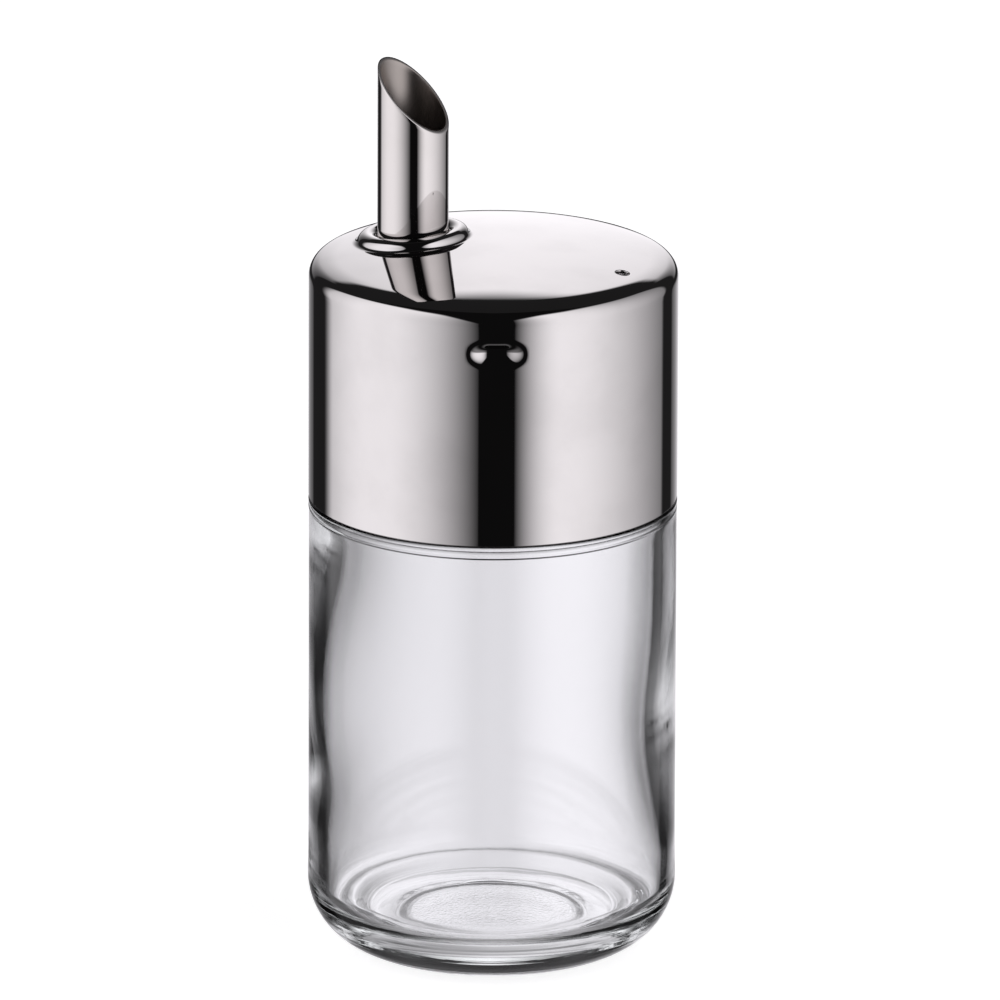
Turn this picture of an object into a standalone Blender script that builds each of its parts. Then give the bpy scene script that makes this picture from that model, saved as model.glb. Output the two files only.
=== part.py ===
"""Cream dispenser: a glass jar, a drawn steel cap that turns under three lugs, its pouring tube and its seal.

Metres, +Z up. The origin is the centre of the jar's base, on the surface that the jar stands on.
"""
from math import asin, cos, pi, radians, sin, sqrt

import bmesh
import bpy
import numpy as np
from mathutils import Matrix, Vector

MM = 0.001

# Driving sizes of the cap, a cup drawn from one sheet
CAP_RADIUS = 28.5 * MM
CAP_SHEET = 0.6 * MM
CAP_SIDE_HEIGHT = 37.98 * MM
CORNER_RADIUS = 2.6 * MM
DOME_RADIUS = 150.0 * MM
HEM_RADIUS = 0.7 * MM
HEM_TURN = radians(62.0)
HEM_GAP = 0.4 * MM

# The spout and the vent lie on one diameter of the cap, on opposite sides
SPOUT_AZIMUTH = radians(155.5)
SPOUT_OFFSET = 13.7 * MM
TUBE_RADIUS = 5.5 * MM
TUBE_WALL = 0.5 * MM
TUBE_RISE = 27.9 * MM
TUBE_CUT_TILT = radians(43.5)
TUBE_CUT_AZIMUTH = radians(149.0)
TUBE_TAIL = 1.5 * MM
VENT_AZIMUTH = SPOUT_AZIMUTH + pi + radians(-2.5)
VENT_OFFSET = 22.2 * MM
VENT_RADIUS = 1.1 * MM

# The collar drawn up round the tube: a rounded bead whose inner side turns down as a sleeve
COLLAR_GAP = 0.3 * MM
COLLAR_RISE = 1.5 * MM
COLLAR_BEAD = 1.45 * MM
COLLAR_FOOT = 0.9 * MM
COLLAR_SLEEVE = 3.4 * MM

# The lugs pressed into the cap's side, and the ribs on the glass neck that they turn under
LUG_COUNT = 3
LUG_AZIMUTH = radians(-88.9)
LUG_DROP = 7.05 * MM
LUG_HALF_WIDTH = 4.8 * MM
LUG_HALF_HEIGHT = 2.5 * MM
LUG_DEPTH = 1.5 * MM
LUG_SPREAD = 0.3 * MM
LOCK_TURN = radians(45.0)
RIB_LEAD = radians(17.0)
RIB_TAPER = radians(6.0)
RIB_STOP_WIDTH = radians(3.0)
RIB_STOP_GAP = radians(0.8)
RIB_CLEARANCE = 0.3 * MM
RIB_EDGE = 0.7 * MM
RIB_LAND_GAP = 0.7 * MM
RIB_FLANK = 0.55 * MM
RIB_TOP_FLANK = 0.3 * MM
RIB_STOP_DROP = 2.3 * MM

# Driving sizes of the jar, pressed glass with a thick base, whose side the cap's side carries on
JAR_RADIUS = CAP_RADIUS
JAR_LEDGE_HEIGHT = 71.7 * MM
LEDGE_EDGE_RADIUS = 0.5 * MM
NECK_ROOT_RADIUS = 0.8 * MM
HEEL_RADIUS = 10.8 * MM
GLASS_WALL = 3.2 * MM
WALL_SWELL = 0.35 * MM
FLOOR_HEIGHT = 5.5 * MM
FLOOR_CROWN = 0.3 * MM
FLOOR_FILLET = 5.5 * MM
PUNT_RADIUS = 15.2 * MM
PUNT_HEIGHT = 1.2 * MM
NECK_SPACE = 2.1 * MM
NECK_WALL = 2.1 * MM
NECK_RIM_RADIUS = 0.7 * MM
NECK_INNER_RUN = 7.0 * MM
NECK_INNER_START = 2.6 * MM

# The seal, a flat ring between the glass rim and the cap's ceiling
SEAL_THICKNESS = 1.6 * MM
SEAL_SIDE_GAP = 0.2 * MM
SEAL_OVERHANG = 0.3 * MM
SEAL_EDGE = 0.25 * MM
SEAT_GAP = 0.3 * MM

# How finely round shapes are divided
ROUND_STEPS = 64
TUBE_STEPS = 48
DOME_ROWS = 4
CORNER_ROWS = 4
BEAD_ROWS = 7
WALL_ROWS = 6
HEEL_ROWS = 7
EDGE_ROWS = 2
LUG_SEGMENTS = 20
LUG_RINGS = 10
MERGE = 0.01 * MM
OVERRUN = 1.0 * MM

# Heights worked out from the driving sizes
HEM_HEIGHT = JAR_LEDGE_HEIGHT + HEM_GAP
CAP_EDGE_HEIGHT = HEM_HEIGHT + CAP_SIDE_HEIGHT
CORNER_HEIGHT = CAP_EDGE_HEIGHT - CORNER_RADIUS
CORNER_TILT = asin((CAP_RADIUS - CORNER_RADIUS) / (DOME_RADIUS - CORNER_RADIUS))
DOME_CENTRE = CORNER_HEIGHT - (DOME_RADIUS - CORNER_RADIUS) * cos(CORNER_TILT)
CAP_INNER_RADIUS = CAP_RADIUS - CAP_SHEET
LUG_HEIGHT = CAP_EDGE_HEIGHT - LUG_DROP
NECK_RADIUS = CAP_INNER_RADIUS - NECK_SPACE
NECK_BORE = NECK_RADIUS - NECK_WALL
RIB_RADIUS = CAP_INNER_RADIUS - RIB_LAND_GAP
LUG_BITE_SHARE = sqrt(1 - ((CAP_RADIUS - RIB_RADIUS) / (LUG_DEPTH + CAP_SHEET)) ** 2)
SEAL_BORE = NECK_BORE + SEAL_SIDE_GAP
SEAL_RADIUS = NECK_RADIUS + SEAL_OVERHANG
SPOUT_CENTRE = Vector((cos(SPOUT_AZIMUTH), sin(SPOUT_AZIMUTH), 0.0)) * SPOUT_OFFSET


def dome_height(x, y, radius=DOME_RADIUS):
    """Height of the cap's top at a place in plan, or of its underside for the smaller radius."""
    return DOME_CENTRE + np.sqrt(radius**2 - x**2 - y**2)


SPOUT_SEAT = float(dome_height(SPOUT_CENTRE.x, SPOUT_CENTRE.y))
CEILING_RADIUS = DOME_RADIUS - CAP_SHEET
SEAL_TOP = float(dome_height(SEAL_RADIUS, 0.0, CEILING_RADIUS)) - SEAT_GAP
SEAL_BOTTOM = SEAL_TOP - SEAL_THICKNESS
NECK_TOP = SEAL_BOTTOM - SEAT_GAP


def clear_scene():
    """Remove what a new file holds."""
    for thing in list(bpy.data.objects):
        bpy.data.objects.remove(thing)


def new_collection(name):
    """A collection of its own in the scene."""
    collection = bpy.data.collections.new(name)
    bpy.context.scene.collection.children.link(collection)
    return collection


def arc(centre_r, centre_z, radius, start, end, steps):
    """Points along an arc in the half plane of a turned shape, with both its ends; angles from +R."""
    angles = np.linspace(start, end, steps + 1)
    return [(centre_r + radius * cos(a), centre_z + radius * sin(a)) for a in angles]


def mesh_object(name, vertices, edges, faces, collection):
    """An object from plain lists."""
    mesh = bpy.data.meshes.new(name)
    mesh.from_pydata([tuple(v) for v in vertices], edges, faces)
    mesh.update()
    thing = bpy.data.objects.new(name, mesh)
    collection.objects.link(thing)
    return thing


def smooth(thing):
    """Shade an object smooth between its real edges."""
    thing.data.shade_smooth()
    thing.data.set_sharp_from_angle(angle=radians(30.0))


def turned(name, outline, steps, collection, closed=False):
    """A shape turned about Z from its outline in the XZ plane, which runs down the outer side."""
    count = len(outline)
    edges = [(i, i + 1) for i in range(count - 1)]
    if closed:
        edges.append((count - 1, 0))
    thing = mesh_object(name, [(r, 0.0, z) for r, z in outline], edges, [], collection)
    screw = thing.modifiers.new("turn", "SCREW")
    screw.axis = "Z"
    screw.angle = 2 * pi
    screw.steps = steps
    screw.render_steps = steps
    screw.use_merge_vertices = True
    screw.merge_threshold = MERGE
    screw.use_smooth_shade = True
    return thing


def ring_grid(rings, wrap_ends=False):
    """Quads between neighbouring closed rings, with a face over each end ring when asked."""
    columns = len(rings[0])
    vertices = [point for ring in rings for point in ring]
    faces = []
    for row in range(len(rings) - 1):
        for i in range(columns):
            j = (i + 1) % columns
            low, high = row * columns, (row + 1) * columns
            faces.append((low + i, low + j, high + j, high + i))
    if wrap_ends:
        last = (len(rings) - 1) * columns
        faces.append(tuple(reversed(range(columns))))
        faces.append(tuple(last + i for i in range(columns)))
    return vertices, faces


def hide_as_cutter(thing):
    """Show a helper solid as wire only."""
    thing.hide_render = True
    thing.display_type = "WIRE"


def combine(target, helper, operation):
    """Join a helper solid to a piece, or cut it away."""
    modifier = target.modifiers.new(helper.name, "BOOLEAN")
    modifier.operation = operation
    modifier.solver = "EXACT"
    modifier.object = helper


def set_material(thing, name, colour, roughness, metallic, transmission=0.0, ior=1.5):
    """Give a piece its own material."""
    material = bpy.data.materials.new(name)
    material.use_nodes = True
    shader = material.node_tree.nodes["Principled BSDF"]
    shader.inputs["Base Color"].default_value = (*colour, 1.0)
    shader.inputs["Roughness"].default_value = roughness
    shader.inputs["Metallic"].default_value = metallic
    shader.inputs["Transmission Weight"].default_value = transmission
    shader.inputs["IOR"].default_value = ior
    material.diffuse_color = (*colour, 1.0)
    thing.data.materials.append(material)


def wall_radius(height):
    """Inside radius of the jar's wall, which swells and thins a little, as pressed glass does."""
    reach = (height - FLOOR_HEIGHT) / (JAR_LEDGE_HEIGHT - FLOOR_HEIGHT)
    return JAR_RADIUS - GLASS_WALL + WALL_SWELL * sin(2 * pi * reach)


def jar_outline():
    """Half section of the jar, from the middle of its floor, over the rim, to the middle of its base."""
    floor_edge = wall_radius(FLOOR_HEIGHT + FLOOR_FILLET) - FLOOR_FILLET
    outline = [
        (floor_edge * share, FLOOR_HEIGHT + FLOOR_CROWN * (1 - share**2))
        for share in np.linspace(0.0, 1.0, CORNER_ROWS)[:-1]
    ]
    outline += arc(floor_edge, FLOOR_HEIGHT + FLOOR_FILLET, FLOOR_FILLET, -pi / 2, 0.0, HEEL_ROWS)
    wall_start = FLOOR_HEIGHT + FLOOR_FILLET
    wall_end = JAR_LEDGE_HEIGHT - NECK_INNER_START
    for height in np.linspace(wall_start, wall_end, WALL_ROWS + 1)[1:]:
        outline.append((wall_radius(height), height))
    draw_in = wall_radius(wall_end) - NECK_BORE
    for share in np.linspace(0.0, 1.0, WALL_ROWS)[1:]:
        ease = (1 - cos(pi * share)) / 2
        outline.append((NECK_BORE + draw_in * (1 - ease), wall_end + NECK_INNER_RUN * share))
    rim = NECK_RIM_RADIUS
    outline += arc(NECK_BORE + rim, NECK_TOP - rim, rim, pi, pi / 2, EDGE_ROWS)
    outline += arc(NECK_RADIUS - rim, NECK_TOP - rim, rim, pi / 2, 0.0, EDGE_ROWS)
    root = NECK_ROOT_RADIUS
    outline += arc(NECK_RADIUS + root, JAR_LEDGE_HEIGHT + root, root, pi, 3 * pi / 2, EDGE_ROWS)
    edge = LEDGE_EDGE_RADIUS
    outline += arc(JAR_RADIUS - edge, JAR_LEDGE_HEIGHT - edge, edge, pi / 2, 0.0, EDGE_ROWS + 1)
    outline += arc(JAR_RADIUS - HEEL_RADIUS, HEEL_RADIUS, HEEL_RADIUS, 0.0, -pi / 2, HEEL_ROWS)
    for share in np.linspace(1.0, 0.0, CORNER_ROWS):
        outline.append((PUNT_RADIUS * share, PUNT_HEIGHT * (1 + cos(pi * share)) / 2))
    return outline


def rib_section(growth, foot_drop):
    """Section of a rib, root inside the neck's wall: growth 0 to 1 raises it, foot_drop lowers its foot."""
    foot = LUG_HEIGHT + (LUG_HALF_HEIGHT + LUG_SPREAD) * LUG_BITE_SHARE + RIB_CLEARANCE
    top = foot + RIB_EDGE
    root = NECK_RADIUS - NECK_WALL / 2
    crest = NECK_RADIUS + (RIB_RADIUS - NECK_RADIUS) * growth
    foot -= foot_drop
    return [
        (root, foot - RIB_FLANK),
        (NECK_RADIUS, foot - RIB_FLANK),
        (crest, foot),
        (crest, top),
        (NECK_RADIUS, top + RIB_TOP_FLANK),
        (root, top + RIB_TOP_FLANK),
    ]


def rib_stations():
    """Turn, growth and foot drop along one rib, from its lead-in to the stop at its far end."""
    lug_half_turn = (LUG_HALF_WIDTH + LUG_SPREAD) * LUG_BITE_SHARE / RIB_RADIUS
    stop = LOCK_TURN + lug_half_turn + RIB_STOP_GAP
    thin_share = 0.15
    stations = [(RIB_LEAD, thin_share, 0.0), (RIB_LEAD + RIB_TAPER, 1.0, 0.0)]
    for turn in np.linspace(RIB_LEAD + RIB_TAPER, stop, WALL_ROWS)[1:]:
        stations.append((turn, 1.0, 0.0))
    stations.append((stop + RIB_STOP_GAP / 2, 1.0, RIB_STOP_DROP))
    stations.append((stop + RIB_STOP_GAP / 2 + RIB_STOP_WIDTH, 1.0, RIB_STOP_DROP))
    return stations


def make_rib(index, cutters):
    """One rib on the neck, lofted through its stations clockwise from the place of its lug at rest."""
    rest = LUG_AZIMUTH + 2 * pi * index / LUG_COUNT
    rings = []
    for turn, growth, foot_drop in rib_stations():
        azimuth = rest - turn
        section = rib_section(growth, foot_drop)
        rings.append([(r * cos(azimuth), r * sin(azimuth), z) for r, z in section])
    vertices, faces = ring_grid(rings, wrap_ends=True)
    rib = mesh_object(f"rib_{index + 1}", vertices, [], faces, cutters)
    shape = bmesh.new()
    shape.from_mesh(rib.data)
    bmesh.ops.recalc_face_normals(shape, faces=shape.faces)
    shape.to_mesh(rib.data)
    shape.free()
    hide_as_cutter(rib)
    return rib


def make_jar(parts, cutters):
    """The glass jar, with its neck and three lug ribs."""
    jar = turned("glass_jar", jar_outline(), ROUND_STEPS, parts)
    for index in range(LUG_COUNT):
        combine(jar, make_rib(index, cutters), "UNION")
    set_material(jar, "clear_glass", (0.93, 0.94, 0.94), 0.02, 0.0, transmission=1.0, ior=1.52)
    return jar


def collar_outline():
    """Distance from the tube's axis and height over the top, from the sleeve's foot to the collar's foot."""
    bore = TUBE_RADIUS + COLLAR_GAP
    bead_r, bead_z = bore + COLLAR_BEAD, COLLAR_RISE - COLLAR_BEAD
    between = COLLAR_BEAD + COLLAR_FOOT
    lean = asin((COLLAR_FOOT - bead_z) / between)
    outline = [(bore, -COLLAR_SLEEVE)]
    outline += arc(bead_r, bead_z, COLLAR_BEAD, pi, lean, BEAD_ROWS)
    foot_r = bead_r + between * cos(lean)
    outline += arc(foot_r, COLLAR_FOOT, COLLAR_FOOT, pi + lean, 3 * pi / 2, EDGE_ROWS)[1:]
    return outline


def cap_rings():
    """Rings of the cap's outer face, from inside the collar, over the top and down the side to the hem."""
    turns = np.linspace(0.0, 2 * pi, ROUND_STEPS, endpoint=False)
    wave, rise = np.cos(turns), np.sin(turns)
    rings = []
    for radius, height in collar_outline():
        x, y = SPOUT_CENTRE.x + radius * wave, SPOUT_CENTRE.y + radius * rise
        rings.append((x, y, dome_height(x, y) + height))
    foot_radius = radius
    edge_radius = DOME_RADIUS * sin(CORNER_TILT)
    for share in np.linspace(0.0, 1.0, DOME_ROWS + 1)[1:]:
        radius = foot_radius + (edge_radius - foot_radius) * share
        x = SPOUT_CENTRE.x * (1 - share) + radius * wave
        y = SPOUT_CENTRE.y * (1 - share) + radius * rise
        rings.append((x, y, dome_height(x, y)))
    corner_start = pi / 2 - CORNER_TILT
    side = arc(CAP_RADIUS - CORNER_RADIUS, CORNER_HEIGHT, CORNER_RADIUS, corner_start, 0.0, CORNER_ROWS)[1:]
    hem_lift = HEM_RADIUS * sin(HEM_TURN)
    side += arc(CAP_RADIUS - HEM_RADIUS, HEM_HEIGHT + hem_lift, HEM_RADIUS, 0.0, -HEM_TURN, EDGE_ROWS)
    for radius, height in side:
        rings.append((radius * wave, radius * rise, np.full(ROUND_STEPS, height)))
    return [np.stack(ring, axis=1).tolist() for ring in rings]


def make_pad(name, index, grow, collection):
    """The egg-shaped pad of one lug, centred on the cap's outer face, grown by a thickness of sheet."""
    pad = mesh_object(name, [], [], [], collection)
    shape = bmesh.new()
    bmesh.ops.create_uvsphere(shape, u_segments=LUG_SEGMENTS, v_segments=LUG_RINGS, radius=1.0)
    spread = LUG_SPREAD if grow else 0.0
    scale = Vector((LUG_DEPTH + grow, LUG_HALF_WIDTH + spread, LUG_HALF_HEIGHT + spread))
    azimuth = LUG_AZIMUTH + 2 * pi * index / LUG_COUNT
    place = Matrix.Rotation(azimuth, 4, "Z") @ Matrix.Translation((CAP_RADIUS, 0.0, LUG_HEIGHT))
    bmesh.ops.transform(shape, matrix=place @ Matrix.Diagonal((*scale, 1.0)), verts=shape.verts)
    shape.to_mesh(pad.data)
    shape.free()
    hide_as_cutter(pad)
    return pad


def make_side_core(cutters):
    """A cylinder to the middle of the cap's sheet, which trims the lugs' inner sides to the cap's inside."""
    radius = CAP_RADIUS - CAP_SHEET / 2
    half = LUG_HALF_HEIGHT + LUG_SPREAD + OVERRUN
    outline = [(0.0, LUG_HEIGHT + half), (radius, LUG_HEIGHT + half)]
    outline += [(radius, LUG_HEIGHT - half), (0.0, LUG_HEIGHT - half)]
    core = turned("lug_trim", outline, ROUND_STEPS, cutters)
    hide_as_cutter(core)
    return core


def make_vent_cutter(cutters):
    """A round punch through the top, opposite the spout."""
    x, y = VENT_OFFSET * cos(VENT_AZIMUTH), VENT_OFFSET * sin(VENT_AZIMUTH)
    top = float(dome_height(x, y)) + OVERRUN
    bottom = top - CAP_SHEET - OVERRUN - OVERRUN
    outline = [(0.0, top), (VENT_RADIUS, top), (VENT_RADIUS, bottom), (0.0, bottom)]
    punch = turned("vent_punch", outline, LUG_SEGMENTS, cutters)
    punch.location = (x, y, 0.0)
    hide_as_cutter(punch)
    return punch


def make_cap(parts, cutters):
    """The drawn steel cap with its collar, vent, hem and pressed-in lugs."""
    vertices, faces = ring_grid(cap_rings())
    cap = mesh_object("cap_shell", vertices, [], [tuple(reversed(f)) for f in faces], parts)
    sheet = cap.modifiers.new("sheet", "SOLIDIFY")
    sheet.thickness = CAP_SHEET
    sheet.offset = -1.0
    sheet.use_even_offset = True
    sheet.use_rim = True
    core = make_side_core(cutters)
    for index in range(LUG_COUNT):
        inner = make_pad(f"lug_inner_{index + 1}", index, CAP_SHEET, cutters)
        combine(inner, core, "INTERSECT")
        combine(cap, inner, "UNION")
    for index in range(LUG_COUNT):
        combine(cap, make_pad(f"lug_outer_{index + 1}", index, 0.0, cutters), "DIFFERENCE")
    combine(cap, make_vent_cutter(cutters), "DIFFERENCE")
    smooth(cap)
    set_material(cap, "polished_steel", (0.78, 0.77, 0.76), 0.06, 1.0)
    return cap


def make_tube(parts, cutters):
    """The pouring tube, cut across at a slant so that it pours from its high tip."""
    foot = -COLLAR_SLEEVE - TUBE_TAIL
    outline = [(TUBE_RADIUS, TUBE_RISE + OVERRUN), (TUBE_RADIUS, foot)]
    outline += [(TUBE_RADIUS - TUBE_WALL, foot), (TUBE_RADIUS - TUBE_WALL, TUBE_RISE + OVERRUN)]
    tube = turned("spout_tube", outline, TUBE_STEPS, parts, closed=True)
    tube.location = (SPOUT_CENTRE.x, SPOUT_CENTRE.y, SPOUT_SEAT)
    saw = mesh_object("tube_saw", [], [], [], cutters)
    shape = bmesh.new()
    size = 2 * TUBE_RISE
    block = Matrix.Translation((0.0, 0.0, size / 2)) @ Matrix.Diagonal((size, size, size, 1.0))
    bmesh.ops.create_cube(shape, size=1.0, matrix=block)
    shape.to_mesh(saw.data)
    shape.free()
    outward = Vector((cos(TUBE_CUT_AZIMUTH), sin(TUBE_CUT_AZIMUTH), 0.0))
    tip = outward * TUBE_RADIUS + Vector((0.0, 0.0, TUBE_RISE))
    saw.location = tube.location + tip
    saw.rotation_euler = (0.0, -TUBE_CUT_TILT, TUBE_CUT_AZIMUTH)
    hide_as_cutter(saw)
    combine(tube, saw, "DIFFERENCE")
    set_material(tube, "polished_steel_tube", (0.80, 0.79, 0.78), 0.07, 1.0)
    return tube


def make_seal(parts):
    """The flat seal ring between the glass rim and the cap's ceiling."""
    cut = SEAL_EDGE
    outline = [(SEAL_RADIUS - cut, SEAL_TOP), (SEAL_RADIUS, SEAL_TOP - cut)]
    outline += [(SEAL_RADIUS, SEAL_BOTTOM + cut), (SEAL_RADIUS - cut, SEAL_BOTTOM)]
    outline += [(SEAL_BORE + cut, SEAL_BOTTOM), (SEAL_BORE, SEAL_BOTTOM + cut)]
    outline += [(SEAL_BORE, SEAL_TOP - cut), (SEAL_BORE + cut, SEAL_TOP)]
    seal = turned("seal_ring", outline, ROUND_STEPS, parts, closed=True)
    set_material(seal, "clear_silicone", (0.85, 0.86, 0.86), 0.45, 0.0)
    return seal


def main():
    """Build the dispenser."""
    clear_scene()
    parts = new_collection("cream_dispenser")
    cutters = new_collection("cutters")
    make_jar(parts, cutters)
    make_cap(parts, cutters)
    make_tube(parts, cutters)
    make_seal(parts)


main()
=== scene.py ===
"""Cream dispenser: a pressed glass jar, a drawn steel cap, a slant-cut pouring tube and a clear seal.

Metres, +Z up, in the frame of the CAD. Every piece that shows is a fine surface worked out from the same
sizes as the CAD solid that it stands for, so the solids keep the motion and these pieces keep the looks.
"""

import logging
from dataclasses import dataclass, field
from enum import Enum
from functools import partialmethod
from math import asin, cos, pi, radians, sin, tan

import bpy
import numpy as np
from mathutils import Matrix, Vector

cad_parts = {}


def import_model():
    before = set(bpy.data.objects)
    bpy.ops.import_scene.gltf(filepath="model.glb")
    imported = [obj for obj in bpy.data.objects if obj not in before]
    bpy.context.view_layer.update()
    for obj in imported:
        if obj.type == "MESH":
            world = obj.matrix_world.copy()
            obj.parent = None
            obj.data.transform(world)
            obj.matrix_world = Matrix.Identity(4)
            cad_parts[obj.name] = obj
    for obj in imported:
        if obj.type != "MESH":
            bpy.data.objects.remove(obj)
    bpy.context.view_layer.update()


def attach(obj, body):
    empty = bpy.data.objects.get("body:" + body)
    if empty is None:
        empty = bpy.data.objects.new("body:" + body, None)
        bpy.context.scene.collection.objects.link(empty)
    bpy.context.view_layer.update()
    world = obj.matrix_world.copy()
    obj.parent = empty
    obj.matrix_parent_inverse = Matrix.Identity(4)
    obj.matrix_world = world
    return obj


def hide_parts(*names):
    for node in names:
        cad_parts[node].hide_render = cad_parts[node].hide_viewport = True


MM = 0.001
TURN = 2 * pi
LOG = logging.getLogger("cream_dispenser")
Array = np.ndarray
Ring = tuple[float, np.ndarray]
Tree = bpy.types.NodeTree
Socket = bpy.types.NodeSocket
FACTOR, FIRST, SECOND, MIXED = 0, 6, 7, 2  # places of a mix node's colour sockets


class Body(Enum):
    """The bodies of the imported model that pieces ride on."""

    JAR = "jar"
    SEAL = "seal"
    CAP = "cap"


class Slot(Enum):
    """The record's material slots."""

    GLASS = "clear_glass"
    STEEL = "polished_steel"
    TUBE_STEEL = "polished_steel_tube"
    SILICONE = "clear_silicone"


class Side(Enum):
    """The side of the camera that a light box stands on."""

    LEFT = -1
    RIGHT = 1


def linear(colour: str) -> tuple[float, float, float, float]:
    """Turn an sRGB hex colour linear.

    Args:
        colour: six hex digits after a hash sign.

    Returns:
        Linear red, green and blue, and a full alpha.
    """
    levels = np.array([int(colour[i : i + 2], 16) for i in (1, 3, 5)]) / 255
    bright = ((levels + 0.055) / 1.055) ** 2.4
    return (*np.where(levels <= 0.04045, levels / 12.92, bright).tolist(), 1.0)


def add_node(tree: Tree, kind: str, inputs: dict | None = None, **settings: object) -> bpy.types.Node:
    """Add one node with its settings and links.

    Args:
        tree: the tree that gets the node.
        kind: the node's type, without the part that all shader nodes share.
        inputs: for an input's name or number, its value or the output or field that is linked to it.
        settings: the node's own properties.

    Returns:
        The new node.
    """
    node = tree.nodes.new("ShaderNode" + kind)
    for name, value in settings.items():
        setattr(node, name, value)
    for key, value in (inputs or {}).items():
        source = getattr(value, "socket", value)
        if isinstance(source, Socket):
            tree.links.new(source, node.inputs[key])
        else:
            node.inputs[key].default_value = source
    return node


def empty_tree(owner: bpy.types.Material | bpy.types.World) -> Tree:
    """Turn on a material's or a world's nodes and clear them."""
    owner.use_nodes = True
    owner.node_tree.nodes.clear()
    return owner.node_tree


@dataclass(frozen=True)
class Field:
    """A number that changes over a surface or with direction: a node's output that takes part in sums."""

    tree: Tree
    socket: Socket

    def via(self, operation: str, *others: "float | Field") -> "Field":
        """The result of one operation on this field and the others."""
        inputs = dict(enumerate((self, *others)))
        return Field(self.tree, add_node(self.tree, "Math", inputs, operation=operation).outputs[0])

    def ramp(self, low: "float | Field", high: "float | Field") -> "Field":
        """A smooth step from nothing at the low value to one at the high value."""
        inputs = {"Value": self, "From Min": low, "From Max": high}
        node = add_node(self.tree, "MapRange", inputs, interpolation_type="SMOOTHSTEP")
        return Field(self.tree, node.outputs[0])

    def __rsub__(self, other: float) -> "Field":
        """A number less this field."""
        return self * -1.0 + other

    __add__ = partialmethod(via, "ADD")
    __sub__ = partialmethod(via, "SUBTRACT")
    __mul__ = partialmethod(via, "MULTIPLY")
    __truediv__ = partialmethod(via, "DIVIDE")
    __pow__ = partialmethod(via, "POWER")
    __abs__ = partialmethod(via, "ABSOLUTE")

    @classmethod
    def parts(cls, tree: Tree, vector: Socket) -> tuple["Field", "Field", "Field"]:
        """The three parts of a vector."""
        split = add_node(tree, "SeparateXYZ", {"Vector": vector})
        return tuple(cls(tree, split.outputs[i]) for i in range(3))


class Shape:
    """Points and faces gathered from grids, then made into one mesh."""

    def __init__(self) -> None:
        """Start with nothing."""
        self.points: list[Array] = []
        self.faces: list[Array] = []
        self.count = 0

    def add(self, grid: Array) -> Array:
        """Add points and give their indices, in the grid's own layout."""
        places = np.arange(self.count, self.count + grid[..., 0].size).reshape(grid.shape[:-1])
        self.points.append(grid.reshape(-1, 3))
        self.count += places.size
        return places

    def skin(self, grid: Array, wrap_rows: bool = False, gaps: Array | None = None) -> None:
        """Lay quads between neighbouring rows of a grid whose last column joins its first.

        Args:
            grid: the points' indices, row by row.
            wrap_rows: whether the last row joins the first.
            gaps: true for each cell that is left open.
        """
        low = grid if wrap_rows else grid[:-1]
        high = np.roll(grid, -1, axis=0) if wrap_rows else grid[1:]
        cells = np.stack([low, high, np.roll(high, -1, axis=1), np.roll(low, -1, axis=1)], axis=-1)
        self.faces.append(cells[~gaps] if gaps is not None else cells.reshape(-1, 4))

    def fan(self, ring: Array, tip: Array) -> None:
        """Close a ring with triangles that meet in one point."""
        pole = self.add(tip.reshape(1, 3))
        self.faces.append(np.stack([ring, np.roll(ring, -1), np.full(ring.size, pole[0])], axis=1))

    def make(self, name: str) -> bpy.types.Object:
        """Make the object, smooth and at the origin, from the points that its faces use.

        Args:
            name: the object's name.

        Returns:
            The object, linked to the scene.
        """
        mesh = bpy.data.meshes.new(name)
        points = np.concatenate(self.points)
        corners = np.concatenate([faces.ravel() for faces in self.faces])
        used, corners = np.unique(corners, return_inverse=True)
        points = points[used]
        sizes = np.concatenate([np.full(len(faces), faces.shape[1]) for faces in self.faces])
        mesh.vertices.add(len(points))
        mesh.vertices.foreach_set("co", points.astype(np.float32).ravel())
        mesh.loops.add(len(corners))
        mesh.loops.foreach_set("vertex_index", corners.astype(np.int32))
        mesh.polygons.add(len(sizes))
        mesh.polygons.foreach_set("loop_start", (np.cumsum(sizes) - sizes).astype(np.int32))
        mesh.polygons.foreach_set("use_smooth", np.ones(len(sizes), dtype=bool))
        mesh.update(calc_edges=True)
        mesh.validate()
        thing = bpy.data.objects.new(name, mesh)
        bpy.context.scene.collection.objects.link(thing)
        return thing


def arc(centre: tuple[float, float], radius: float, start: float, end: float, steps: int) -> Array:
    """Points along an arc in a half plane, ends included: the centre plus the radius by cosine and sine."""
    angles = np.linspace(start, end, steps + 1)
    return np.stack([centre[0] + radius * np.cos(angles), centre[1] + radius * np.sin(angles)], axis=1)


def line(start: tuple[float, float], end: tuple[float, float], steps: int) -> Array:
    """Points along a straight line, evenly spaced, both ends included."""
    return np.linspace(start, end, steps + 1)


def run_on(*stretches: Array) -> Array:
    """Join stretches of a profile end to end, each joint once."""
    return np.concatenate([stretches[0], *[stretch[1:] for stretch in stretches[1:]]])


def even_turns(columns: int) -> Array:
    """Angles of evenly spaced columns, once round."""
    return np.linspace(0.0, TURN, columns, endpoint=False)


def turn_profile(profile: Array, turns: Array) -> Array:
    """Turn a profile about Z: each point's radius times the cosine and sine of each turn, at its height."""
    radius, height = profile[:, :1], profile[:, 1:]
    flat = np.ones_like(turns)
    return np.stack([radius * np.cos(turns), radius * np.sin(turns), height * flat], axis=-1)


def smooth_step(value: Array, low: float, high: float) -> Array:
    """A smooth step from nothing at the low value to one at the high value, of a cubic."""
    share = np.clip((value - low) / (high - low), 0, 1)
    return share * share * (3 - 2 * share)


def unit(vectors: Array) -> Array:
    """The same directions at length one."""
    return vectors / np.linalg.norm(vectors, axis=-1, keepdims=True)


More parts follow.
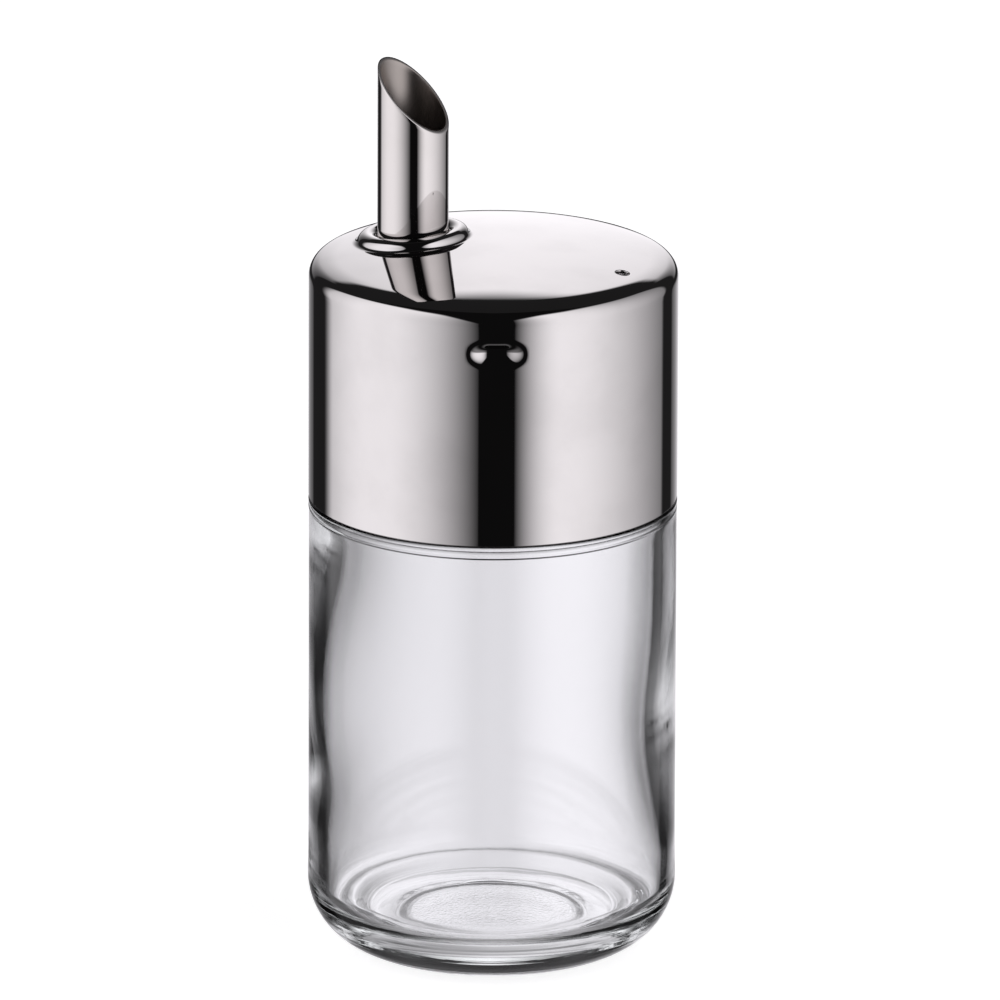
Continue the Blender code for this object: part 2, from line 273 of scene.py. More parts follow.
def plan_radius(grid: Array) -> Array:
    """Distance of each point from Z, or of a place in plan from the middle."""
    return np.linalg.norm(grid[..., :2], axis=-1)


def surface_normals(grid: Array) -> Array:
    """Unit normals of a grid with closed columns: its row direction crossed with its column direction."""
    along = np.gradient(grid, axis=0)
    across = np.roll(grid, -1, axis=1) - np.roll(grid, 1, axis=1)
    return unit(np.cross(along, across))


@dataclass(frozen=True)
class CapSizes:
    """Sizes of the cap: the CAD's for its form, and finer ones for its edges and its pressed-in lugs."""

    radius: float = 28.5 * MM
    sheet: float = 0.6 * MM
    side_height: float = 37.98 * MM
    corner_radius: float = 2.6 * MM
    dome_radius: float = 150.0 * MM
    shoulder_radius: float = 16.0 * MM
    shoulder_tilt: float = radians(18.5)
    hem_radius: float = 0.3 * MM
    hem_turn: float = radians(62.0)
    hem_height: float = 72.1 * MM
    spout_azimuth: float = radians(155.5)
    spout_offset: float = 13.7 * MM
    vent_azimuth: float = radians(333.0)
    vent_offset: float = 22.2 * MM
    vent_radius: float = 1.1 * MM
    vent_lip: float = 0.16 * MM
    bore: float = 5.58 * MM
    collar_rise: float = 1.5 * MM
    collar_bead: float = 1.56 * MM
    collar_foot: float = 0.9 * MM
    collar_sleeve: float = 3.4 * MM
    lug_count: int = 3
    lug_azimuth: float = radians(-88.9)
    lug_drop: float = 7.05 * MM
    lug_half_width: float = 4.8 * MM
    lug_flat: float = 1.2 * MM
    lug_half_height: float = 2.5 * MM
    lug_depth: float = 1.1 * MM
    lug_taper: float = 0.38
    lug_margin: float = 1.15
    vent_window: float = 1.9
    columns: int = 320
    crowding: float = 0.7

    @property
    def edge_height(self) -> float:
        """Height of the sharp corner that the rounded edge stands for."""
        return self.hem_height + self.side_height

    @property
    def corner_height(self) -> float:
        """Height of the centre of the rounded edge."""
        return self.edge_height - self.corner_radius

    @property
    def corner_tilt(self) -> float:
        """Slope of the CAD's dome where its rounded edge takes over."""
        return asin((self.radius - self.corner_radius) / (self.dome_radius - self.corner_radius))

    @property
    def dome_centre(self) -> float:
        """Height of the centre of the dome's sphere."""
        return self.corner_height - (self.dome_radius - self.corner_radius) * cos(self.corner_tilt)

    @property
    def dome_reach(self) -> float:
        """Radius at which the sphere hands over to the softer shoulder, so that the arcs meet smoothly."""
        rest = self.corner_radius + (self.shoulder_radius - self.corner_radius) * sin(self.shoulder_tilt)
        return (self.radius - rest) / (1 - self.shoulder_radius / self.dome_radius)

    @property
    def lug_height(self) -> float:
        """Height of the middle of the lugs."""
        return self.edge_height - self.lug_drop

    @property
    def spout_centre(self) -> Array:
        """Place of the tube's axis in plan."""
        return self.spout_offset * np.array([cos(self.spout_azimuth), sin(self.spout_azimuth)])

    @property
    def vent_centre(self) -> Array:
        """Place of the vent in plan."""
        return self.vent_offset * np.array([cos(self.vent_azimuth), sin(self.vent_azimuth)])

    def dome_height(self, x: Array, y: Array, drop: float = 0.0) -> Array:
        """Height of the dome at a place in plan: the sphere's centre plus the rest of its radius."""
        return self.dome_centre + np.sqrt((self.dome_radius - drop) ** 2 - x**2 - y**2)


CAP = CapSizes()


@dataclass(frozen=True)
class Finish:
    """What a piece is made of: the part of a material that all of them share."""

    name: str
    colour: str

    def looks(self, tree: Tree, place: Socket) -> dict:
        """Inputs of the surface's shader, from nodes that read the place on the object."""
        return {"Base Color": linear(self.colour)}

    def volume(self, tree: Tree) -> dict:
        """Inputs of the output for what happens inside the piece: nothing, unless light goes through it."""
        return {}

    def make(self) -> bpy.types.Material:
        """Build the material."""
        material = bpy.data.materials.new(self.name)
        tree = empty_tree(material)
        place = add_node(tree, "TexCoord").outputs["Object"]
        shader = add_node(tree, "BsdfPrincipled", self.looks(tree, place))
        add_node(tree, "OutputMaterial", {"Surface": shader.outputs[0], **self.volume(tree)})
        return material


@dataclass(frozen=True)
class SteelFinish(Finish):
    """18/10 steel, drawn and then buffed to a mirror while it turns.

    The eye sees a mirror with a faint grain of fine rings, slow waves, and soft patches where the hand takes
    hold. The real grain is about 0.02 mm and is drawn coarser, at 0.18 mm, to show at all. The bore of a tube
    is left as drawn, so it is rougher, and its colour is darker: painted shade inside the tube.
    """

    dull: str
    roughness: float = 0.022
    axis: tuple[float, float] = (0.0, 0.0)
    bore: float = 0.0
    bore_edge: float = 0.1 * MM
    bore_roughness: float = 0.3
    # painted shade: a darker colour inside the tube's bore, where shade falls
    bore_shade_colour: str = "#a39c97"
    grain: float = 0.18 * MM
    grain_length: float = 2.0 * MM
    grain_band: tuple[float, float] = (0.35, 0.8)
    grain_roughness: float = 0.014
    patch: float = 14.0 * MM
    patch_band: tuple[float, float] = (0.5, 0.8)
    patch_roughness: float = 0.012
    tint_band: tuple[float, float] = (0.42, 0.72)
    wave: float = 9.0 * MM
    wave_depth: float = 0.0012 * MM

    def looks(self, tree: Tree, place: Socket) -> dict:
        """A mirror, a little rougher along its buffing lines and a touch duller in patches."""
        offset = add_node(tree, "VectorMath", {0: place, 1: (*self.axis, 0.0)}, operation="SUBTRACT")
        x, y, z = Field.parts(tree, offset.outputs[0])
        reach = (x * x + y * y) ** 0.5
        run = x.via("ARCTAN2", y) * self.grain_length
        lines = add_node(tree, "CombineXYZ", {"X": reach, "Y": run, "Z": z})
        sizes = {"Vector": lines.outputs[0], "Scale": 1 / self.grain, "Detail": 3.0, "Roughness": 0.6}
        grain = Field(tree, add_node(tree, "TexNoise", sizes).outputs[0])
        sizes = {"Vector": place, "Scale": 1 / self.patch, "Detail": 4.0}
        patch = Field(tree, add_node(tree, "TexNoise", sizes).outputs[0])
        slow = add_node(tree, "TexNoise", {"Vector": place, "Scale": 1 / self.wave, "Detail": 1.0})
        shades = {FACTOR: patch.ramp(*self.tint_band), FIRST: linear(self.colour), SECOND: linear(self.dull)}
        tint = add_node(tree, "Mix", shades, data_type="RGBA")
        soft = grain.ramp(*self.grain_band) * self.grain_roughness + self.roughness
        soft = soft + patch.ramp(*self.patch_band) * self.patch_roughness
        if self.bore:
            inside = 1.0 - reach.ramp(self.bore, self.bore + self.bore_edge)
            soft = soft + inside * self.bore_roughness
            # painted shade: the bore takes a darker colour; its added roughness is real
            shades = {FACTOR: inside, FIRST: tint.outputs[MIXED], SECOND: linear(self.bore_shade_colour)}
            tint = add_node(tree, "Mix", shades, data_type="RGBA")
        waves = {"Height": slow.outputs[0], "Distance": self.wave_depth, "Strength": 1.0}
        bump = add_node(tree, "Bump", waves)
        return {
            "Base Color": tint.outputs[MIXED],
            "Metallic": 1.0,
            "Roughness": soft,
            "Normal": bump.outputs[0],
        }


@dataclass(frozen=True)
class GlassFinish(Finish):
    """Pressed soda glass.

    The eye sees clear glass with a slow ripple from the mould, a stippled disc under the base, and a
    grey-green tint that only shows where the light goes through the thick base.
    """

    depth_colour: str
    density: float = 9.0
    ior: float = 1.52
    skin: float = 2.2 * MM
    skin_depth: float = 0.004 * MM
    dot: float = 0.36 * MM
    dot_depth: float = 0.022 * MM
    dot_roughness: float = 0.12
    stipple_radius: float = 13.4 * MM
    stipple_edge: float = 0.3 * MM
    stipple_top: float = 3.0 * MM
    stipple_fade: float = 0.5 * MM

    def looks(self, tree: Tree, place: Socket) -> dict:
        """A clear surface with the mould's ripple, and dots of the stipple under the base."""
        x, y, z = Field.parts(tree, place)
        reach = (x * x + y * y) ** 0.5
        sizes = {"Vector": place, "Scale": 1 / self.skin, "Detail": 1.0, "Roughness": 0.4}
        ripple = add_node(tree, "TexNoise", sizes)
        dots = add_node(tree, "TexVoronoi", {"Vector": place, "Scale": 1 / self.dot}, feature="SMOOTH_F1")
        inside = 1.0 - reach.ramp(self.stipple_radius - self.stipple_edge, self.stipple_radius)
        inside = inside * (1.0 - z.ramp(self.stipple_top - self.stipple_fade, self.stipple_top))
        height = Field(tree, ripple.outputs[0]) * self.skin_depth
        height = height + Field(tree, dots.outputs[0]) * inside * self.dot_depth
        bump = add_node(tree, "Bump", {"Height": height, "Distance": 1.0, "Strength": 1.0})
        return {
            "Base Color": linear(self.colour),
            "Transmission Weight": 1.0,
            "IOR": self.ior,
            "Roughness": inside * self.dot_roughness,
            "Normal": bump.outputs[0],
        }

    def volume(self, tree: Tree) -> dict:
        """The tint in the depth of the glass."""
        tint = {"Color": linear(self.depth_colour), "Density": self.density}
        return {"Volume": add_node(tree, "VolumeAbsorption", tint).outputs[0]}


@dataclass(frozen=True)
class SiliconeFinish(Finish):
    """Moulded clear silicone: half clear, with milky clouds and a fine mould grain, so it stays quiet."""

    milky: str
    ior: float = 1.41
    clear: float = 0.55
    cloud: float = 6.0 * MM
    cloud_band: tuple[float, float] = (0.35, 0.7)
    fine: float = 0.25 * MM
    fine_depth: float = 0.01 * MM
    fine_band: tuple[float, float] = (0.2, 0.8)
    fine_roughness: float = 0.1
    roughness: float = 0.36

    def looks(self, tree: Tree, place: Socket) -> dict:
        """A half clear surface, its colour from slow clouds and its bump from the fine grain."""
        cloud = add_node(tree, "TexNoise", {"Vector": place, "Scale": 1 / self.cloud, "Detail": 3.0})
        fine = add_node(tree, "TexNoise", {"Vector": place, "Scale": 1 / self.fine, "Detail": 2.0})
        share = Field(tree, cloud.outputs[0]).ramp(*self.cloud_band)
        shades = {FACTOR: share, FIRST: linear(self.colour), SECOND: linear(self.milky)}
        tint = add_node(tree, "Mix", shades, data_type="RGBA")
        bump = add_node(tree, "Bump", {"Height": fine.outputs[0], "Distance": self.fine_depth})
        soft = Field(tree, fine.outputs[0]).ramp(*self.fine_band) * self.fine_roughness + self.roughness
        return {
            "Base Color": tint.outputs[MIXED],
            "Transmission Weight": self.clear,
            "IOR": self.ior,
            "Roughness": soft,
            "Normal": bump.outputs[0],
        }


def settle(thing: bpy.types.Object, finish: Finish, body: Body, node: str) -> bpy.types.Object:
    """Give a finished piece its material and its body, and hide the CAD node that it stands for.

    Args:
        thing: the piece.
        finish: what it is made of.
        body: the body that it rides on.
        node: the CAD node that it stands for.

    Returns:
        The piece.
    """
    thing.data.materials.append(finish.make())
    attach(thing, body.value)
    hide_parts(node)
    faces = sum(len(face.vertices) - 2 for face in thing.data.polygons)
    LOG.info("%s: %d triangles, rides on %s", thing.name, faces, body.value)
    return thing


@dataclass
class SteelCap:
    """The cap: one sheet drawn into a cup, with the collar, the vent, the lugs and the turned-in hem."""

    sizes: CapSizes = CAP
    sleeve_rows: int = 4
    bead_rows: int = 22
    foot_rows: int = 8
    dome_rows: int = 24
    shoulder_rows: int = 6
    corner_rows: int = 12
    lug_rows: int = 46
    side_rows: int = 10
    hem_rows: int = 8
    edge_rows: int = 4
    vent_rows: int = 6
    vent_lip_rows: int = 4
    vent_under_rows: int = 3

    def turns(self) -> Array:
        """Angles of the columns: even steps less a sine of three waves a turn, to crowd them at the lugs."""
        size = self.sizes
        even, count = even_turns(size.columns), size.lug_count
        return even - size.crowding / count * np.sin(count * (even - size.lug_azimuth))

    def collar(self) -> Array:
        """Profile of the collar, by distance from the tube's axis and height over the dome."""
        size = self.sizes
        bead = (size.bore + size.collar_bead, size.collar_rise - size.collar_bead)
        between = size.collar_bead + size.collar_foot
        lean = asin((size.collar_foot - bead[1]) / between)
        foot = (bead[0] + between * cos(lean), size.collar_foot)
        sleeve_foot = -size.collar_sleeve + size.sheet / 2
        return run_on(
            line((size.bore, sleeve_foot), (size.bore, bead[1]), self.sleeve_rows),
            arc(bead, size.collar_bead, pi, lean, self.bead_rows),
            arc(foot, size.collar_foot, pi + lean, 3 * pi / 2, self.foot_rows),
        )

    def side(self) -> Array:
        """Profile of the soft shoulder, the rounded edge, the side and the hem, from the dome's edge down."""
        size = self.sizes
        start = asin(size.dome_reach / size.dome_radius)
        span = size.dome_radius - size.shoulder_radius
        shoulder = (span * sin(start), size.dome_centre + span * cos(start))
        span = size.shoulder_radius - size.corner_radius
        tilt = size.shoulder_tilt
        corner = (shoulder[0] + span * sin(tilt), shoulder[1] + span * cos(tilt))
        reach = size.lug_margin * size.lug_half_height
        top, foot = size.lug_height + reach, size.lug_height - reach
        hem_z = size.hem_height + size.hem_radius * sin(size.hem_turn)
        hem = (size.radius - size.hem_radius, hem_z)
        hem_end = size.hem_turn - size.sheet / 2 / size.hem_radius
        return run_on(
            arc(shoulder, size.shoulder_radius, pi / 2 - start, pi / 2 - tilt, self.shoulder_rows),
            arc(corner, size.corner_radius, pi / 2 - tilt, 0.0, self.corner_rows),
            line((size.radius, corner[1]), (size.radius, top), 2),
            line((size.radius, top), (size.radius, foot), self.lug_rows),
            line((size.radius, foot), (size.radius, hem_z), self.side_rows),
            arc(hem, size.hem_radius, 0.0, -hem_end, self.hem_rows),
        )

    def press_lugs(self, grid: Array, turns: Array) -> Array:
        """Press the lugs into the side.

        Each point moves towards the axis by the depth times two squared cosines, one of its distance past the
        flat middle along the side and one of its distance in height, so the lug is a soft trough. Its height
        shrinks towards its ends with the square of the first distance.

        Args:
            grid: points of the outer face.
            turns: angle of each column.

        Returns:
            The same points with the lugs pressed in.
        """
        size = self.sizes
        pitch = TURN / size.lug_count
        swing = (turns - size.lug_azimuth + pitch / 2) % pitch - pitch / 2
        across = (np.abs(swing) * size.radius - size.lug_flat) / (size.lug_half_width - size.lug_flat)
        across = np.clip(across, 0, 1)
        half_height = size.lug_half_height * (1 - size.lug_taper * across**2)
        along = np.clip(np.abs(grid[..., 2] - size.lug_height) / half_height, 0, 1)
        depth = size.lug_depth * (np.cos(pi / 2 * across) * np.cos(pi / 2 * along)) ** 2
        plan = plan_radius(grid)
        share = np.where(plan > size.radius - size.corner_radius, 1 - depth / plan, 1.0)
        grid[..., :2] *= share[..., None]
        return grid

    def outer_face(self, turns: Array) -> Array:
        """Points of the outer face, row by row from inside the collar, over the top and down to the hem.

        The collar's profile is turned about the tube's axis and set on the sphere of the dome. Between the
        collar and the edge, each ring's centre and radius slide evenly from one to the other, on that sphere.

        Args:
            turns: angle of each column.

        Returns:
            The points, by row and column.
        """
        size = self.sizes
        collar = self.collar()
        share = np.linspace(0.0, 1.0, self.dome_rows + 1)[1:, None]
        slide = collar[-1, 0] + (size.dome_reach - collar[-1, 0]) * share
        radius = np.concatenate([collar[:, :1], slide])
        rise = np.concatenate([collar[:, 1:], np.zeros_like(slide)])
        left = np.concatenate([np.ones((len(collar), 1)), 1 - share])
        x = size.spout_centre[0] * left + radius * np.cos(turns)
        y = size.spout_centre[1] * left + radius * np.sin(turns)
        top = np.stack([x, y, size.dome_height(x, y) + rise], axis=-1)
        return self.press_lugs(np.concatenate([top, turn_profile(self.side()[1:], turns)]), turns)

    def rim(self, edge: Array, normal: Array, ahead: Array) -> Array:
        """A half round over the sheet's cut edge: half the sheet along its normal and half ahead of it."""
        half = self.sizes.sheet / 2
        angles = np.linspace(0.0, pi, self.edge_rows + 1)[1:-1, None, None]
        middle = edge - normal * half
        return middle + half * (normal * np.cos(angles) + ahead * np.sin(angles))

    def window(self, grid: Array) -> tuple[slice, slice]:
        """Rows and columns of the outer face that the vent takes out, a little wider than its hole."""
        size = self.sizes
        away = plan_radius(grid[..., :2] - size.vent_centre)
        on_top = grid[..., 2] >= size.corner_height
        rows, columns = np.nonzero(on_top & (away < size.vent_radius * size.vent_window))
        return slice(rows.min(), rows.max() + 1), slice(columns.min(), columns.max() + 1)

    def punch_vent(self, shape: Shape, outer: Array, inner: Array, grid: Array) -> None:
        """Fill the window left for the vent with rings from its border to a round hole with soft lips.

        Each ring lies on the sphere of the outer or the inner face. Its distance from the hole slides
        evenly on the flat, and the lips are quarter rounds.

        Args:
            shape: the mesh in the making.
            outer: indices of the outer face's points.
            inner: indices of the inner face's points, in the same layout.
            grid: the outer face's points.
        """
        size = self.sizes
        rows, columns = self.window(grid)
        border, under = self.border(outer[rows, columns]), self.border(inner[rows, columns])
        points = np.concatenate(shape.points)
        start, end = points[border][:, :2], points[under][:, :2]
        toward = unit(start - size.vent_centre)
        lip = size.vent_lip
        hole = size.vent_centre + toward * (size.vent_radius + lip)

        def ring(flat: Array, rise: float, drop: float) -> Array:
            """One ring, on the outer face or the sheet's thickness under it, and a little off it at a lip."""
            return np.column_stack([flat, size.dome_height(*flat.T, drop=drop) + rise])

        quarter = np.linspace(0.0, pi / 2, self.vent_lip_rows + 1)
        shares = np.linspace(0.0, 1.0, self.vent_rows + 1)[1:]
        rings = [ring(start * (1 - share) + hole * share, 0.0, 0.0) for share in shares]
        for angle in quarter[1:]:
            rings.append(ring(hole - toward * lip * sin(angle), -lip * (1 - cos(angle)), 0.0))
        for angle in quarter[::-1]:
            rings.append(ring(hole - toward * lip * sin(angle), lip * (1 - cos(angle)), size.sheet))
        for share in np.linspace(0.0, 1.0, self.vent_under_rows + 1)[1:-1]:
            rings.append(ring(end * share + hole * (1 - share), 0.0, size.sheet))
        shape.skin(np.concatenate([border[None], shape.add(np.stack(rings)), under[None]]))

    @staticmethod
    def border(window: Array) -> Array:
        """Indices round the border of a window, once round."""
        return np.concatenate([window[0, :-1], window[:-1, -1], window[-1, :0:-1], window[:0:-1, 0]])

    def build(self) -> bpy.types.Object:
        """Build and dress the cap.

        Its inner face is the outer one moved in along its normals by the sheet's thickness. One loop of rows
        runs over the outer face, round the hem, back over the inner face and round the foot of the sleeve.
        """
        size = self.sizes
        turns = self.turns()
        outer = self.outer_face(turns)
        normal = surface_normals(outer)
        inner = outer - normal * size.sheet
        shape = Shape()
        outer_places, inner_places = shape.add(outer), shape.add(inner)
        hem = shape.add(self.rim(outer[-1], normal[-1], unit(outer[-1] - outer[-2])))
        foot = shape.add(self.rim(outer[0], normal[0], unit(outer[0] - outer[1])))
        loop = np.concatenate([outer_places, hem, inner_places[::-1], foot[::-1]])
        rows, columns = self.window(outer)
        gaps = np.zeros(loop.shape, dtype=bool)
        gaps[rows.start : rows.stop - 1, columns.start : columns.stop - 1] = True
        last = len(outer) + len(hem) + len(inner) - 1
        gaps[last - rows.stop + 1 : last - rows.start, columns.start : columns.stop - 1] = True
        shape.skin(loop, wrap_rows=True, gaps=gaps)
        self.punch_vent(shape, outer_places, inner_places, outer)
        cap = shape.make("drawn_steel_cap")
        finish = SteelFinish("mirror_buffed_steel", "#ccc9c8", "#c6c3c2")
        return settle(cap, finish, Body.CAP, "cap_shell")


@dataclass
class PouringTube:
    """The pouring tube: a drawn tube cut across at a slant, its cut ground flat and its edges broken."""

    radius: float = 5.5 * MM
    wall: float = 0.5 * MM
    rise: float = 27.9 * MM
    cut_tilt: float = radians(43.5)
    cut_azimuth: float = radians(149.0)
    foot: float = -4.9 * MM
    edge: float = 0.09 * MM
    columns: int = 224
    wall_rows: int = 40
    edge_rows: int = 4
    face_shares: tuple[float, ...] = (0.35, 0.65)
    bore_margin: float = 0.1 * MM

    def cut(self, radius: float, inset: float) -> Array:
        """Heights of the cut at one radius, less an inset: a plane that falls from the tip at its tilt."""
        reach = radius * np.cos(even_turns(self.columns) - self.cut_azimuth)
        return self.rise - tan(self.cut_tilt) * (self.radius - reach) - inset

    def straight(self, radius: float, shares: Array) -> list[Ring]:
        """Rings of a wall, each a share of the way from the foot to the cut."""
        low, high = self.foot + self.edge, self.cut(radius, self.edge)
        return [(radius, low + (high - low) * share) for share in shares]

    def rounded(self, wall: float, away: int, angles: Array, at_foot: bool) -> list[Ring]:
        """Rings of a broken edge: a quarter round that leaves a wall and ends on the cut or the foot.

        Args:
            wall: the radius of the wall.
            away: the side that the edge turns to, 1 outwards or -1 inwards.
            angles: how far round each ring lies.
            at_foot: whether the edge is the foot's.

        Returns:
            Radius and heights of each ring.
        """
        rings = []
        for angle in angles:
            radius = wall + away * self.edge * (1 - cos(angle))
            inset = self.edge * (1 - sin(angle))
            height = np.full(self.columns, self.foot + inset) if at_foot else self.cut(radius, inset)
            rings.append((radius, height))
        return rings

    def build(self) -> bpy.types.Object:
        """Build and dress the tube: outer wall, ground face and inner wall, each ring's top on the cut."""
        bore = self.radius - self.wall
        quarter = np.linspace(0.0, pi / 2, self.edge_rows + 1)
        up = np.linspace(0.0, 1.0, self.wall_rows + 1)
        flats = [self.radius - self.edge - (self.wall - 2 * self.edge) * share for share in self.face_shares]
        rings = [
            *self.straight(self.radius, up),
            *self.rounded(self.radius, -1, quarter[1:], False),
            *[(radius, self.cut(radius, 0.0)) for radius in flats],
            *self.rounded(bore, 1, quarter[::-1], False),
            *self.straight(bore, up[::-1][1:]),
            *self.rounded(bore, 1, quarter[1:], True),
            *self.rounded(self.radius, -1, quarter[:0:-1], True),
        ]
        radius = np.array([[ring[0]] for ring in rings])
        height = np.stack([ring[1] for ring in rings])
        centre = CAP.spout_centre
        seat = float(CAP.dome_height(*centre))
        turns = even_turns(self.columns)
        x, y = centre[0] + radius * np.cos(turns), centre[1] + radius * np.sin(turns)
        shape = Shape()
        shape.skin(shape.add(np.stack([x, y, seat + height], axis=-1))[::-1], wrap_rows=True)
        tube = shape.make("steel_pouring_tube")
        inside = bore + self.bore_margin
        # inside this radius the finish paints shade into the colour; its added roughness is real
        finish = SteelFinish("mirror_drawn_tube", "#cac6c4", "#c2bebb", 0.028, tuple(centre), inside)
        return settle(tube, finish, Body.CAP, "spout_tube")


@dataclass(frozen=True)
class ThickSpot:
    """A place where the pressed wall came out thicker, or thinner where the depth is negative."""

    azimuth: float
    height: float
    depth: float
    tall: float
    wide: float = radians(34.0)

    def press(self, turns: Array, heights: Array) -> Array:
        """Depth of the spot at each point: a bell curve in turn times one in height."""
        swing = (turns - self.azimuth + pi) % TURN - pi
        return self.depth * np.exp(-((swing / self.wide) ** 2) - ((heights - self.height) / self.tall) ** 2)


@dataclass(frozen=True)
class Ridge:
    """A fine ring that the mould left in a profile, at one radius or height, with its rise and half width."""

    place: float
    rise: float
    wide: float


@dataclass(frozen=True)
class JarSizes:
    """Sizes of the jar: the CAD's for its form, and finer ones for what pressing leaves in the glass."""

    radius: float = 28.5 * MM
    ledge_height: float = 71.95 * MM
    ledge_edge: float = 0.5 * MM
    neck_root: float = 0.8 * MM
    heel_radius: float = 10.8 * MM
    wall: float = 3.2 * MM
    swell: float = 0.25 * MM
    floor_height: float = 5.5 * MM
    floor_crown: float = 0.12 * MM
    floor_fillet: float = 5.5 * MM
    step_start: float = 18.5 * MM
    step_end: float = 22.5 * MM
    step_rise: float = 2.2 * MM
    punt_radius: float = 15.2 * MM
    punt_flat: float = 12.4 * MM
    punt_height: float = 0.6 * MM
    neck_radius: float = 25.8 * MM
    neck_bore: float = 23.7 * MM
    neck_top: float = 107.276 * MM
    neck_rim: float = 0.7 * MM
    inner_start: float = 2.6 * MM
    inner_run: float = 7.0 * MM
    fine_side_foot: float = 66.0 * MM
    rib_radius: float = 27.2 * MM
    rib_foot: float = 105.53 * MM
    rib_edge: float = 0.7 * MM
    rib_flank: float = 0.55 * MM
    rib_top_flank: float = 0.3 * MM
    rib_gap: float = 0.1 * MM
    rib_drop: float = 2.3 * MM
    rib_lead: float = radians(17.0)
    rib_taper: float = radians(6.0)
    rib_stop: float = radians(54.3)
    rib_end: float = radians(57.7)
    rib_lead_early: float = 0.02
    rib_stop_soft: float = 0.006
    rib_end_early: float = 0.005
    rib_end_late: float = 0.01
    bore_fade: tuple[float, float] = (22.2 * MM, 24.5 * MM)
    near: float = 0.01 * MM
    columns: int = 264
    spots: tuple[ThickSpot, ...] = (
        ThickSpot(pi, 66.0 * MM, 0.8 * MM, 10.0 * MM),
        ThickSpot(pi, 42.0 * MM, -0.35 * MM, 12.0 * MM),
        ThickSpot(pi, 25.5 * MM, 0.3 * MM, 6.0 * MM),
        ThickSpot(0.0, 36.0 * MM, 0.8 * MM, 12.0 * MM),
        ThickSpot(0.0, 12.0 * MM, -0.4 * MM, 8.0 * MM),
    )
    side_ridge: Ridge = Ridge(70.4 * MM, 0.07 * MM, 0.2 * MM)
    floor_ridges: tuple[Ridge, ...] = (
        Ridge(15.2 * MM, 0.02 * MM, 0.3 * MM),
        Ridge(16.6 * MM, 0.03 * MM, 0.4 * MM),
    )
    foot_ridges: tuple[Ridge, ...] = (
        Ridge(14.9 * MM, 0.05 * MM, 0.3 * MM),
        Ridge(18.3 * MM, 0.04 * MM, 0.35 * MM),
    )
    streak: float = 0.010 * MM
    streak_span: float = 1.3 * MM
    streak_waves: tuple[tuple[float, float, float], ...] = (
        (1.0, 1.0, 0.0),
        (0.7, 1.73, 1.0),
        (0.5, 2.9, 2.0),
    )
    streak_top: tuple[float, float] = (6.0 * MM, 12.8 * MM)
    streak_inner: tuple[float, float] = (8.0 * MM, 12.0 * MM)
    foot_top: float = 3.0 * MM


